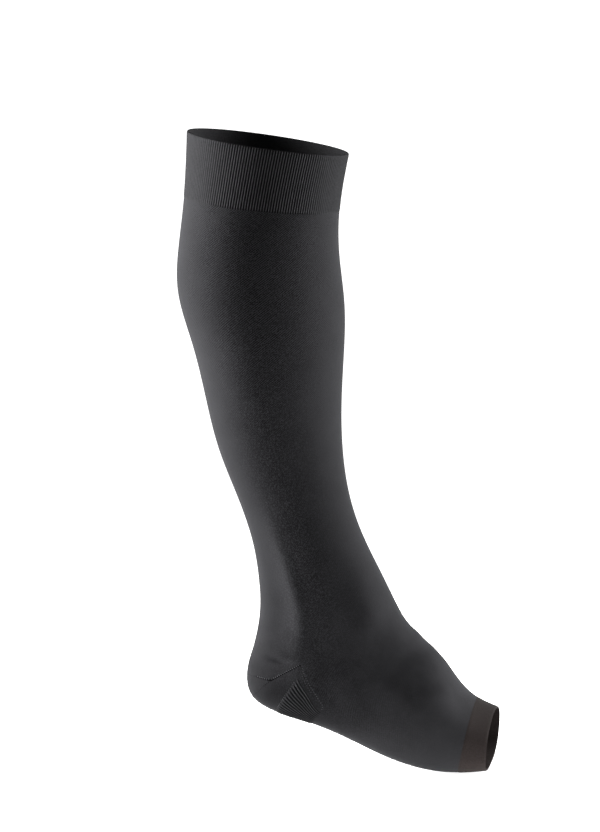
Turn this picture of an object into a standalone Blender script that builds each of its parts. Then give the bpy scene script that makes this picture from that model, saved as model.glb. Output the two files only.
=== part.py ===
"""One below-knee compression stocking with an open toe, for a right leg, in its worn shape and empty.

The frame is in metres with +Z up: the origin is the middle of the top opening, +X is towards the toes and
+Y is the inner (medial) side. Every piece is a thin closed wall cut from one surface. That surface is a
tube of flat rings, one for each row of STATIONS, which follow the leg, fan round the ankle so that they
cover the heel, and follow the foot to the toe opening.
"""

import bpy
import numpy as np

MM = 0.001

# Driving sizes, in millimetres.
WALL = 1.2
SEAM_GAP = 0.3
BAND_RIB_RISE = 0.45
SOLE_RIB_RISE = 0.45
ARCH_LIFT = 6.0
ARCH_REACH = 35.0

# Where the knit changes, in millimetres along the tube. The heel starts above the ankle point at the back,
# and the ribbed part of the sole runs between two lines that lie further on under the sole than at its
# sides.
HEEL_RISE = 10.0
RIBS_FROM_SIDE = 4.5
RIBS_FROM_SOLE = 29.5
RIBS_TO_SIDE = 37.0
RIBS_TO_SOLE = 47.5

# The band's ribs lean by so many ribs over its height, and so many are left plain beside the sole's ribs.
BAND_RIBS = 180
BAND_LEAN_RIBS = 1.8
SOLE_RIBS = 40
SOLE_MARGIN_RIBS = 2

# Shares: how far the sole's ribs reach towards its side edges, how much less at their front end and from
# where on, and how much wider they are in the middle of the sole than beside it.
RIBS_REACH = 0.91
RIBS_DRAWN_IN = 0.08
RIBS_DRAWN_FROM = 0.35
WIDER_UNDER_FOOT = 0.2

# Shares: how far the toe opening runs back for each width, how far under the sole the arch's lift is full,
# and the part of the leg and of the forefoot over which rows bend to meet the heel and the ribs.
TOE_SKEW = 0.16
ARCH_UNDER = 0.8
LEG_BEND_FROM = 0.7
FOREFOOT_BEND_TO = 0.7

# One ring for each row: its front and back point in the middle plane, its half widths, where it is widest
# as a share of half its depth from the middle, how square its front and back are, and how far round from
# the front the sole's side edge runs, as a share of half the girth.
COLUMNS = (
    "front_x front_z back_x back_z lateral medial widest front_round back_round sole_edge"
).split()
STATIONS = (
    ("top edge", 59.3, -8, -59.9, 9, 52, 53, -0.04, 2.0, 2.1, 0.50),
    ("band foot", 52.4, -50.5, -62.6, -39.5, 52, 53, -0.06, 2.0, 2.1, 0.50),
    ("upper calf", 52.5, -84.5, -66.9, -76.5, 54, 56, -0.08, 2.0, 2.1, 0.50),
    ("calf", 56, -117.5, -67.6, -110.5, 55, 57, -0.10, 1.95, 2.1, 0.50),
    ("lower calf", 56, -152.5, -57.6, -148.5, 53, 55, -0.10, 1.95, 2.05, 0.51),
    ("mid shank", 54.1, -192.5, -47.8, -189.5, 46, 48, -0.08, 1.95, 2.0, 0.53),
    ("low shank", 55.1, -232.5, -37.7, -230.5, 37, 39, -0.04, 2.0, 1.95, 0.55),
    ("ankle waist", 60.6, -267.5, -24.1, -266.5, 32, 33, 0.00, 2.0, 1.9, 0.57),
    ("above ankle", 71.2, -298.5, -13.1, -300.5, 33, 34, 0.04, 2.05, 1.9, 0.59),
    ("ankle", 85.1, -327.5, -8.4, -330.5, 36, 37, 0.06, 2.1, 1.95, 0.60),
    ("ankle bend", 97.5, -353, -8.9, -363.5, 37, 38, 0.04, 2.1, 2.05, 0.61),
    ("heel back", 102.5, -361.5, -13.4, -383.5, 37, 38, 0.00, 2.1, 2.15, 0.62),
    ("ankle point", 107, -367, -17.2, -397.5, 37, 38, -0.03, 2.1, 2.25, 0.625),
    ("heel turn", 112.5, -372, -14.8, -418.1, 37, 38, -0.06, 2.1, 2.4, 0.61),
    ("heel sole", 116.5, -376.5, 3, -430.2, 37, 38, -0.08, 2.1, 2.6, 0.635),
    ("rear arch", 121.5, -381, 26, -437.5, 38, 38, -0.08, 2.1, 2.8, 0.67),
    ("arch", 127.7, -387.5, 53, -448.1, 40, 39, -0.10, 2.1, 2.9, 0.68),
    ("fore arch", 134.4, -396, 82, -461.6, 43, 42, -0.14, 2.1, 3.0, 0.69),
    ("ball", 142.2, -408.5, 113, -471.6, 45, 45, -0.18, 2.1, 3.1, 0.70),
    ("toe band edge", 155.8, -424.3, 145.5, -475, 45, 45, -0.18, 2.1, 3.1, 0.70),
    ("toe edge", 170.5, -432.5, 168, -473.8, 43, 43, -0.14, 2.1, 3.0, 0.70),
)
NAMES = [row[0] for row in STATIONS]
TABLE = np.array([row[1:] for row in STATIONS], dtype=float)

# Grid sizes.
QUARTER_COLUMNS = 14
LEG_ROWS = 18
INSTEP_ROWS = 6
FOREFOOT_ROWS = 8
HEEL_ROWS = 8
BAND_ROWS = 4
SOLE_RIB_ROWS = 6
TOE_ROWS = 2
POINTS_PER_RIB = 2
BAND_INNER_STEP = 6
SOLE_INNER_STEP = 4
TURN_SAMPLES = 361
LENGTH_SAMPLES = 161
SHARP_DEGREES = 50

SIDES = ((-1, 0), (1, 0), (0, -1), (0, 1))

FINISHES = {
    "top_band": ((0.024, 0.024, 0.026), 0.85),
    "leg": ((0.022, 0.022, 0.024), 0.80),
    "heel": ((0.022, 0.022, 0.024), 0.82),
    "sole_ribs": ((0.021, 0.021, 0.023), 0.85),
    "foot": ((0.022, 0.022, 0.024), 0.80),
    "toe_band": ((0.042, 0.034, 0.031), 0.75),
}


def ring_distances():
    """How far along the tube each ring lies: the mean of its front and its back line."""
    front = np.hypot(*np.diff(TABLE[:, 0:2], axis=0).T)
    back = np.hypot(*np.diff(TABLE[:, 2:4], axis=0).T)
    return np.concatenate([[0.0], np.cumsum((front + back) / 2)])


KNOTS = ring_distances()


def second_slopes():
    """The second derivative of every column at each ring, for a natural cubic spline."""
    gap = np.diff(KNOTS)[:, None]
    slope = np.diff(TABLE, axis=0) / gap
    count = len(KNOTS)
    matrix = np.eye(count)
    right = np.zeros_like(TABLE)
    for k in range(1, count - 1):
        before, after = gap[k - 1, 0], gap[k, 0]
        matrix[k, k - 1 : k + 2] = before, 2 * (before + after), after
        right[k] = 6 * (slope[k] - slope[k - 1])
    return np.linalg.solve(matrix, right)


BENDS = second_slopes()


def station(name):
    """The distance of a named ring along the tube."""
    return KNOTS[NAMES.index(name)]


def section(distance):
    """Every column of the table at the given distances, as a dictionary of arrays."""
    at = np.asarray(distance, dtype=float)
    k = np.clip(np.searchsorted(KNOTS, at, side="right") - 1, 0, len(KNOTS) - 2)
    gap = KNOTS[k + 1] - KNOTS[k]
    ahead = ((at - KNOTS[k]) / gap)[..., None]
    behind = 1 - ahead
    curve = (behind**3 - behind) * BENDS[k] + (ahead**3 - ahead) * BENDS[k + 1]
    values = behind * TABLE[k] + ahead * TABLE[k + 1] + curve * (gap[..., None] ** 2) / 6
    return {name: values[..., i] for i, name in enumerate(COLUMNS)}


def ease(value, low, high):
    """Rises smoothly from 0 at low to 1 at high."""
    t = np.clip((value - low) / (high - low), 0, 1)
    return t * t * (3 - 2 * t)


def ring_point(distance, turn):
    """The surface at a distance along the tube and an angle from the front, towards the medial side."""
    q = section(distance)
    run_x = q["front_x"] - q["back_x"]
    run_z = q["front_z"] - q["back_z"]
    depth = np.hypot(run_x, run_z) / 2
    along_x, along_z = run_x / (2 * depth), run_z / (2 * depth)
    cosine, sine = np.cos(turn), np.sin(turn)
    reach = depth * np.where(cosine >= 0, 1 - q["widest"], 1 + q["widest"])
    side = np.where(sine >= 0, q["medial"], q["lateral"])
    share = (1 + cosine) / 2
    power = q["back_round"] + (q["front_round"] - q["back_round"]) * share
    radius = (np.abs(cosine / reach) ** power + np.abs(sine / side) ** power) ** (-1 / power)
    forward = q["widest"] * depth + radius * cosine
    x = (q["front_x"] + q["back_x"]) / 2 + forward * along_x
    z = (q["front_z"] + q["back_z"]) / 2 + forward * along_z
    y = radius * sine

    # The medial arch of the sole, and the toe opening that runs back towards the little toe.
    arch_mid, arch_half = station("arch"), station("ball") - station("arch")
    along_arch = np.cos(np.clip((distance - arch_mid) / arch_half, -1, 1) * np.pi / 2) ** 2
    lift = ARCH_LIFT * along_arch * ease(y, 0, ARCH_REACH) * ease(-cosine, 0, ARCH_UNDER)
    skew = TOE_SKEW * ease(distance, station("arch"), station("toe edge"))
    return np.stack([x + skew * y, y, z + lift], axis=-1)


def even_turns():
    """For rings along the tube, the angle at each even share of the girth, so that wales lie evenly."""
    distances = np.linspace(0, KNOTS[-1], LENGTH_SAMPLES)
    turns = np.linspace(0, 2 * np.pi, TURN_SAMPLES)
    points = ring_point(distances[:, None], turns[None, :])
    steps = np.linalg.norm(np.diff(points, axis=1), axis=-1)
    length = np.concatenate([np.zeros((LENGTH_SAMPLES, 1)), np.cumsum(steps, axis=1)], axis=1)
    middle = TURN_SAMPLES // 2
    shares = np.linspace(0, 1, TURN_SAMPLES)
    table = np.empty_like(length)
    for i, row in enumerate(length):
        half, whole = row[middle], row[-1]
        first = 0.5 * row[: middle + 1] / half
        second = 0.5 + 0.5 * (row[middle + 1 :] - half) / (whole - half)
        table[i] = np.interp(shares, np.concatenate([first, second]), turns)
    return table


TURN_TABLE = even_turns()


def surface(distance, wale):
    """The outer surface. A wale counts quarters: 0 front, 1 medial sole edge, 2 back, 3 lateral sole edge."""
    distance, wale = np.broadcast_arrays(distance, wale)
    wale = np.mod(wale, 4)
    edge = section(distance)["sole_edge"]
    from_front = np.where(wale <= 2, wale, 4 - wale)
    share = np.where(from_front <= 1, edge * from_front, edge + (1 - edge) * (from_front - 1)) / 2
    share = np.where(wale <= 2, share, 1 - share)
    row = distance / KNOTS[-1] * (LENGTH_SAMPLES - 1)
    column = share * (TURN_SAMPLES - 1)
    i = np.clip(row.astype(int), 0, LENGTH_SAMPLES - 2)
    j = np.clip(column.astype(int), 0, TURN_SAMPLES - 2)
    down, across = row - i, column - j
    upper = TURN_TABLE[i, j] * (1 - across) + TURN_TABLE[i, j + 1] * across
    lower = TURN_TABLE[i + 1, j] * (1 - across) + TURN_TABLE[i + 1, j + 1] * across
    return ring_point(distance, upper * (1 - down) + lower * down)


def surface_normal(distance, wale):
    """The outward direction of the surface."""
    reach, turn = 0.5, 0.01
    down = surface(distance + reach, wale) - surface(distance - reach, wale)
    round_it = surface(distance, wale + turn) - surface(distance, wale - turn)
    normal = np.cross(down, round_it)
    return normal / np.linalg.norm(normal, axis=-1, keepdims=True)


def sole_share(wale):
    """1 along the middle of the back and sole, 0 at the sole's two side edges and over the front."""
    across = np.clip(np.abs(np.mod(wale, 4) - 2), 0, 1)
    return np.cos(across * np.pi / 2)


def heel_top(wale):
    """Where the leg ends: level round the instep half, and higher at the back, where the heel begins."""
    return station("ankle point") - HEEL_RISE * sole_share(wale)


def ribs_start(wale):
    """Where the heel ends and the ribbed part of the sole begins."""
    return station("ankle point") + RIBS_FROM_SIDE + (RIBS_FROM_SOLE - RIBS_FROM_SIDE) * sole_share(wale)


def ribs_end(wale):
    """Where the ribbed part of the sole ends."""
    return station("ankle point") + RIBS_TO_SIDE + (RIBS_TO_SOLE - RIBS_TO_SIDE) * sole_share(wale)


def rib_height(phase):
    """The height of a rib, 1 along its crest and 0 in the groove, for a count of ribs passed."""
    return 0.5 - 0.5 * np.cos(2 * np.pi * phase)


def inset(points, normals, kept, ring):
    """How far each point of a grid stands back from the edges of the kept cells, half a seam gap."""
    moves = np.zeros_like(points)
    around = points.shape[1]
    for d_row, d_column in SIDES:
        move = np.zeros_like(points)
        for i, j in np.argwhere(kept):
            if is_kept(kept, i + d_row, j + d_column, ring):
                continue
            (i0, j0), (i1, j1) = edge_corners(i, j, d_row, d_column)
            first, second = (i0, j0 % around), (i1, j1 % around)
            further_in = (i0 - d_row, (j0 - d_column) % around)
            along = points[second] - points[first]
            inward = points[further_in] - points[first]
            for corner in (first, second):
                away = np.cross(normals[corner], along)
                move[corner] += away * np.sign(away @ inward)
        size = np.linalg.norm(move, axis=-1, keepdims=True)
        moves += np.divide(move, size, out=np.zeros_like(move), where=size > 0)
    return moves * SEAM_GAP / 2


def is_kept(kept, i, j, ring):
    """Whether a cell is in the piece, counting round a ring."""
    rows, columns = kept.shape
    if ring:
        j %= columns
    return 0 <= i < rows and 0 <= j < columns and bool(kept[i, j])


def edge_corners(i, j, d_row, d_column):
    """The two corners of a cell's side that faces the given way, in the order that closes a wall outwards."""
    return {
        (-1, 0): ((i, j), (i, j + 1)),
        (1, 0): ((i + 1, j + 1), (i + 1, j)),
        (0, -1): ((i + 1, j), (i, j)),
        (0, 1): ((i, j + 1), (i + 1, j + 1)),
    }[d_row, d_column]


def add_wall(name, distance, wale, rise=0.0, ring=True, kept=None, step=1):
    """Adds one piece as a closed wall.

    distance and wale are grids of its outer points, rise lifts them, and kept marks the cells that it has
    when it isn't whole. The plain inner side has one column for each step columns of the outer side.
    """
    distance, wale = np.broadcast_arrays(distance, wale)
    outer = surface(distance, wale)
    normals = surface_normal(distance, wale)
    coarse_points, coarse_normals = outer[:, ::step], normals[:, ::step]
    rows = outer.shape[0] - 1
    columns = coarse_points.shape[1] - (0 if ring else 1)
    if kept is None:
        kept = np.ones((rows, columns), dtype=bool)
    moves = inset(coarse_points, coarse_normals, kept, ring)
    inner = coarse_points + moves - coarse_normals * WALL
    outer = outer + spread_moves(moves, outer.shape[1], step, ring)
    outer = outer + normals * np.broadcast_to(rise, distance.shape)[..., None]

    vertices = []
    numbers = {}

    def vertex(layer, i, j):
        j %= outer.shape[1] if layer == "outer" else inner.shape[1]
        key = (layer, i, j)
        if key not in numbers:
            numbers[key] = len(vertices)
            vertices.append((outer if layer == "outer" else inner)[i, j] * MM)
        return numbers[key]

    faces = []
    for i in range(rows):
        for j in range(columns):
            if not kept[i, j]:
                continue
            for fine in range(j * step, (j + 1) * step):
                corners = ((i, fine), (i + 1, fine), (i + 1, fine + 1), (i, fine + 1))
                faces.append([vertex("outer", *c) for c in corners])
            corners = ((i, j), (i, j + 1), (i + 1, j + 1), (i + 1, j))
            faces.append([vertex("inner", *c) for c in corners])
            for d_row, d_column in SIDES:
                if is_kept(kept, i + d_row, j + d_column, ring):
                    continue
                (i0, j0), (i1, j1) = edge_corners(i, j, d_row, d_column)
                count = 1 if d_column else step
                rim_rows = np.linspace(i0, i1, count + 1).round().astype(int)
                rim_columns = np.linspace(j0 * step, j1 * step, count + 1).round().astype(int)
                rim = [vertex("outer", *c) for c in zip(rim_rows, rim_columns)]
                faces.append(rim + [vertex("inner", i1, j1), vertex("inner", i0, j0)])

    mesh = bpy.data.meshes.new(name)
    mesh.from_pydata([tuple(v) for v in vertices], [], faces)
    mesh.shade_smooth()
    mesh.set_sharp_from_angle(angle=np.radians(SHARP_DEGREES))
    piece = bpy.data.objects.new(name, mesh)
    bpy.context.scene.collection.objects.link(piece)
    mesh.materials.append(finish(name))
    return piece


def spread_moves(moves, columns, step, ring):
    """The inset of the coarse columns, spread evenly over the finer ones between them."""
    at = np.arange(columns) / step
    low = at.astype(int)
    ahead = (at - low)[None, :, None]
    following = np.take(moves, low + 1, axis=1, mode="wrap" if ring else "clip")
    return moves[:, low] * (1 - ahead) + following * ahead


def finish(name):
    """A plain knitted finish for one piece."""
    colour, roughness = FINISHES[name]
    material = bpy.data.materials.new(name)
    material.use_nodes = True
    shader = material.node_tree.nodes["Principled BSDF"]
    shader.inputs["Base Color"].default_value = (*colour, 1)
    shader.inputs["Roughness"].default_value = roughness
    shader.inputs["Metallic"].default_value = 0.0
    return material


def make_top_band():
    """The ribbed band that grips under the knee; its ribs lean a little round the leg."""
    down = np.linspace(0, 1, BAND_ROWS + 1)[:, None]
    distance = station("top edge") + (station("band foot") - station("top edge")) * down
    phase = np.arange(BAND_RIBS * POINTS_PER_RIB)[None, :] / POINTS_PER_RIB
    wale = 4 * (phase + BAND_LEAN_RIBS * (1 - down)) / BAND_RIBS
    add_wall("top_band", distance, wale, BAND_RIB_RISE * rib_height(phase), step=BAND_INNER_STEP)


def make_leg():
    """The smooth leg, from the band to the ankle in front and to the top of the heel behind."""
    wale = np.arange(4 * QUARTER_COLUMNS)[None, :] / QUARTER_COLUMNS
    down = np.linspace(0, 1, LEG_ROWS + 1)[:, None]
    start, end = station("band foot"), station("ankle point")
    distance = start + (end - start) * down + (heel_top(wale) - end) * ease(down, LEG_BEND_FROM, 1)
    add_wall("leg", distance, wale)


def make_heel():
    """The heel pocket, which turns the tube under the foot."""
    wale = np.linspace(1, 3, 2 * QUARTER_COLUMNS + 1)[None, :]
    down = np.linspace(0, 1, HEEL_ROWS + 1)[:, None]
    distance = heel_top(wale) * (1 - down) + ribs_start(wale) * down
    add_wall("heel", distance, wale, ring=False)


def make_sole_ribs():
    """The ribbed part of the sole, whose ribs run lengthways and end short of its side edges."""
    half = SOLE_RIBS // 2 + SOLE_MARGIN_RIBS
    phase = np.linspace(-half, half, 2 * half * POINTS_PER_RIB + 1)[None, :]
    down = np.linspace(0, 1, SOLE_RIB_ROWS + 1)[:, None]
    reach = RIBS_REACH - RIBS_DRAWN_IN * ease(down, RIBS_DRAWN_FROM, 1)
    in_ribs = np.clip(2 * np.abs(phase) / SOLE_RIBS, 0, 1)
    in_margin = np.clip((np.abs(phase) - SOLE_RIBS / 2) / SOLE_MARGIN_RIBS, 0, 1)
    spread = in_ribs * (1 + WIDER_UNDER_FOOT * (1 - in_ribs))
    wale = 2 + np.sign(phase) * (reach * spread + (1 - reach) * in_margin)
    distance = ribs_start(wale) * (1 - down) + ribs_end(wale) * down
    ribbed = (np.abs(phase) <= SOLE_RIBS / 2) & (down > 0) & (down < 1)
    rise = SOLE_RIB_RISE * rib_height(phase) * ribbed
    add_wall("sole_ribs", distance, wale, rise, ring=False, step=SOLE_INNER_STEP)


def make_foot():
    """The foot: its instep half lies over the heel and the ribs, and in front it is a whole tube."""
    wale = np.arange(4 * QUARTER_COLUMNS)[None, :] / QUARTER_COLUMNS
    start, middle = station("ankle point"), station("ankle point") + RIBS_TO_SIDE
    end = station("toe band edge")
    rear = start + (middle - start) * np.linspace(0, 1, INSTEP_ROWS + 1)[:-1]
    fore = middle + (end - middle) * np.linspace(0, 1, FOREFOOT_ROWS + 1)
    level = np.concatenate([rear, fore])[:, None]
    bend = 1 - ease(level, middle, middle + FOREFOOT_BEND_TO * (end - middle))
    distance = level + (ribs_end(wale) - middle) * bend
    instep = (wale[0] < 1) | (wale[0] >= 3)
    kept = np.ones((len(level) - 1, wale.shape[1]), dtype=bool)
    kept[:INSTEP_ROWS] = instep
    add_wall("foot", distance, wale, kept=kept)


def make_toe_band():
    """The flat band round the toe opening."""
    wale = np.arange(4 * QUARTER_COLUMNS)[None, :] / QUARTER_COLUMNS
    distance = np.linspace(station("toe band edge"), station("toe edge"), TOE_ROWS + 1)[:, None]
    add_wall("toe_band", distance, wale)


for old in list(bpy.data.objects):
    bpy.data.objects.remove(old)
make_top_band()
make_leg()
make_heel()
make_sole_ribs()
make_foot()
make_toe_band()
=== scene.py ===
import bmesh
import bpy
import numpy as np
from mathutils import Matrix, Vector


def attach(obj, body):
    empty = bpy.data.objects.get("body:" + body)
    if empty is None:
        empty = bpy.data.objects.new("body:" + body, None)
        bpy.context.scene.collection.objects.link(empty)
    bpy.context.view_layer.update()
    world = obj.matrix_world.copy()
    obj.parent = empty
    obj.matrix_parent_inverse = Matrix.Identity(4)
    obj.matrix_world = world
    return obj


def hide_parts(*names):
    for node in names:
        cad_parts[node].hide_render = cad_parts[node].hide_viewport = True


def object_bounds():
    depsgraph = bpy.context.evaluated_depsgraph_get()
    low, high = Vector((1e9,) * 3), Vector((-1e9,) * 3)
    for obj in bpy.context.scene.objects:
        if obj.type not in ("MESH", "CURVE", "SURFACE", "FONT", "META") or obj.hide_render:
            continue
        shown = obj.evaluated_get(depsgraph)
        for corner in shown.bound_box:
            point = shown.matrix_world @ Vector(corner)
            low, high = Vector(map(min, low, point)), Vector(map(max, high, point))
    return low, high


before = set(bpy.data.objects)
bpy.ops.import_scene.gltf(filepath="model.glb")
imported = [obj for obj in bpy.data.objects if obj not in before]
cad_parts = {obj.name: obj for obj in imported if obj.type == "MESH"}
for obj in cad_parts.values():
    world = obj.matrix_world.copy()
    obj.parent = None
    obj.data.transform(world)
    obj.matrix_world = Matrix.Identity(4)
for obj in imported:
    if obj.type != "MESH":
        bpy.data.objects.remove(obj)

cad_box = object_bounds()


# -----------------------------------------------------------------------------------------------------
# Camera
# A long lens looks at the outer side of the leg from a little above the top edge, and down on the foot.
# The shift places the point that it is aimed at right of the middle of the picture and below it.
# -----------------------------------------------------------------------------------------------------

CAMERA_PLACE = Vector((0.052, -2.62, 0.2675))
CAMERA_AIM = Vector((0.052, 0.0, -0.2345))
LENS_MM = 154
FILM_MM = 36
PICTURE_HEIGHT = 832
AIM_RIGHT = 39
AIM_BELOW = 39

lens = bpy.data.cameras.new("long_lens")
lens.lens = LENS_MM
lens.sensor_width = FILM_MM
lens.shift_x = -AIM_RIGHT / PICTURE_HEIGHT
lens.shift_y = AIM_BELOW / PICTURE_HEIGHT
camera = bpy.data.objects.new("camera", lens)
camera.location = CAMERA_PLACE
camera.rotation_euler = (CAMERA_AIM - CAMERA_PLACE).to_track_quat("-Z", "Y").to_euler()
bpy.context.scene.collection.objects.link(camera)
bpy.context.scene.camera = camera


# -----------------------------------------------------------------------------------------------------
# Floor and studio light
# A white floor whose glow is painted light: it glows under and behind the stocking and lights it from
# below, brightest in a round patch in front of the toes, which stands in for a lamp. It lies in a white
# studio that is darker in front. A tall soft box stands on each side of the leg and lights its edge.
# -----------------------------------------------------------------------------------------------------

FLOOR_WIDTH = 60.0
UNDER_FOOT = 0.0004
FLOOR_WHITE = (0.8, 0.8, 0.8, 1)
FLOOR_ROUGHNESS = 0.9
FLOOR_DULL = (0.0, 0.0, 0.0, 1)
FLOOR_GLOW = (0.78, 0.78, 0.78, 1)
GLOW_FROM = -0.6
GLOW_TO = -0.2
# The lamp is a round patch of painted glow in the floor's own emission.
LAMP_GLOW = (5.0, 5.0, 5.0, 1)
LAMP_PLACE = (0.27, -0.22, 0.0)
LAMP_REACH = 0.26
SKY_WHITE = (1.0, 1.0, 1.0, 1)
SKY_IN_FRONT = 0.1
SKY_BEHIND = 1.3
SKY_TURNS = 0.7


class Reading:
    """A number read over a surface. Sums written with it add Math nodes to the surface's looks."""

    def __init__(self, looks, socket):
        self.looks = looks
        self.socket = socket

    def sum(self, operation, *terms):
        return self.looks.node("ShaderNodeMath", {"operation": operation}, dict(enumerate(terms)))

    def __add__(self, other):
        return self.sum("ADD", self, other)

    def __radd__(self, other):
        return self.sum("ADD", other, self)

    def __sub__(self, other):
        return self.sum("SUBTRACT", self, other)

    def __rsub__(self, other):
        return self.sum("SUBTRACT", other, self)

    def __mul__(self, other):
        return self.sum("MULTIPLY", self, other)

    def __rmul__(self, other):
        return self.sum("MULTIPLY", other, self)

    def cosine(self):
        return self.sum("COSINE", self)

    def size(self):
        return self.sum("ABSOLUTE", self)

    def whole(self):
        return self.sum("FLOOR", self)

    def fraction(self):
        return self.sum("FRACT", self)

    def between(self, low, high, rise="LINEAR"):
        """0 up to low, 1 from high, and a straight rise between them, or a soft one with SMOOTHSTEP."""
        sockets = {"Value": self, "From Min": low, "From Max": high}
        return self.looks.node("ShaderNodeMapRange", {"interpolation_type": rise}, sockets)


class Looks:
    """The nodes of one floor, sky or cloth, which its node method adds."""

    def __init__(self, tree):
        self.tree = tree

    def node(self, kind, settings, sockets, output=0):
        """A new node of the kind, with its settings and with a value or a reading in each socket."""
        made = self.tree.nodes.new(kind)
        for name, value in settings.items():
            setattr(made, name, value)
        for name, value in sockets.items():
            self.feed(made.inputs[name], value)
        return Reading(self, made.outputs[output])

    def feed(self, entry, value):
        """Links a reading to a socket, or sets the socket to a value."""
        if isinstance(value, Reading):
            self.tree.links.new(value.socket, entry)
        else:
            entry.default_value = value

    def blend(self, share, first, second):
        """A colour between two others, which go into a Mix node's sockets 6 and 7 and come out at 2."""
        sockets = {0: share, 6: first, 7: second}
        return self.node("ShaderNodeMix", {"data_type": "RGBA"}, sockets, 2)


bpy.context.scene.view_settings.view_transform = "Standard"
bpy.ops.object.select_all(action="DESELECT")
bpy.ops.mesh.primitive_plane_add(size=FLOOR_WIDTH, location=(0, 0, cad_box[0].z - UNDER_FOOT))
floor = bpy.context.object
floor.name = "floor"
bpy.ops.object.transform_apply(location=True, rotation=False, scale=False)

floor_paint = bpy.data.materials.new("floor_paint")
floor_paint.use_nodes = True
paint = Looks(floor_paint.node_tree)
on_floor = paint.node("ShaderNodeTexCoord", {}, {}, "Object")
flat_place = paint.node("ShaderNodeVectorMath", {"operation": "MULTIPLY"}, {0: on_floor, 1: (1, 1, 0)})
backwards = paint.node("ShaderNodeSeparateXYZ", {}, {"Vector": flat_place}, "Y")
from_lamp = paint.node(
    "ShaderNodeVectorMath", {"operation": "DISTANCE"}, {0: flat_place, 1: LAMP_PLACE}, "Value"
)
behind_lamp = paint.blend(backwards.between(GLOW_FROM, GLOW_TO, "SMOOTHSTEP"), FLOOR_DULL, FLOOR_GLOW)
floor_glow = paint.blend(from_lamp.between(0.0, LAMP_REACH, "SMOOTHSTEP"), LAMP_GLOW, behind_lamp)
floor_entries = floor_paint.node_tree.nodes["Principled BSDF"].inputs
paint.feed(floor_entries["Base Color"], FLOOR_WHITE)
paint.feed(floor_entries["Roughness"], FLOOR_ROUGHNESS)
paint.feed(floor_entries["Emission Strength"], 1.0)
paint.feed(floor_entries["Emission Color"], floor_glow)
floor.data.materials.append(floor_paint)

sky = bpy.data.worlds.new("studio")
sky.use_nodes = True
studio = Looks(sky.node_tree)
towards = studio.node("ShaderNodeTexCoord", {}, {}, "Generated")
towards_back = studio.node("ShaderNodeSeparateXYZ", {}, {"Vector": towards}, "Y")
front_to_back = {"From Min": -SKY_TURNS, "From Max": SKY_TURNS, "To Min": SKY_IN_FRONT, "To Max": SKY_BEHIND}
sky_glow = studio.node("ShaderNodeMapRange", {}, {"Value": towards_back, **front_to_back})
sky_entries = sky.node_tree.nodes["Background"].inputs
studio.feed(sky_entries["Color"], SKY_WHITE)
studio.feed(sky_entries["Strength"], sky_glow)
bpy.context.scene.world = sky


def soft_box(name, place, aim, width, height, spread_degrees, watts):
    """One soft box of the given size behind a grid, turned to what it lights."""
    panel = bpy.data.lights.new(name, "AREA")
    panel.shape = "RECTANGLE"
    panel.size = width
    panel.size_y = height
    panel.energy = watts
    panel.spread = np.radians(spread_degrees)
    box = bpy.data.objects.new(name, panel)
    box.location = place
    box.rotation_euler = (Vector(aim) - Vector(place)).to_track_quat("-Z", "Y").to_euler()
    bpy.context.scene.collection.objects.link(box)


soft_box(
    "calf_side_box",
    place=(-1.6, 0.24, 0.05),
    aim=(0.0, 0.0, -0.15),
    width=0.8,
    height=1.9,
    spread_degrees=60,
    watts=47,
)
soft_box(
    "shin_side_box",
    place=(1.5, 0.38, 0.2),
    aim=(0.05, 0.0, -0.12),
    width=0.8,
    height=1.3,
    spread_degrees=60,
    watts=15.5,
)


# -----------------------------------------------------------------------------------------------------
# Ribbed band
# It is knitted first, at the top of the tube: ribs of one stitch up and one down over all the needles, with
# a covered elastic yarn laid in, so that it grips under the knee. Its edge is the knit's own welt. The ribs
# show on its two sides, and are pulled flatter over the shin and most of all over the calf.
# -----------------------------------------------------------------------------------------------------

MM = 0.001
NEEDLES = 360
COURSE_MM = 0.75
CLOTH_MM = 0.95
BAND_RIBS = NEEDLES // 2
BAND_LEAN_RIBS = 1.8
BAND_RIB_RISE = 0.45

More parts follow.
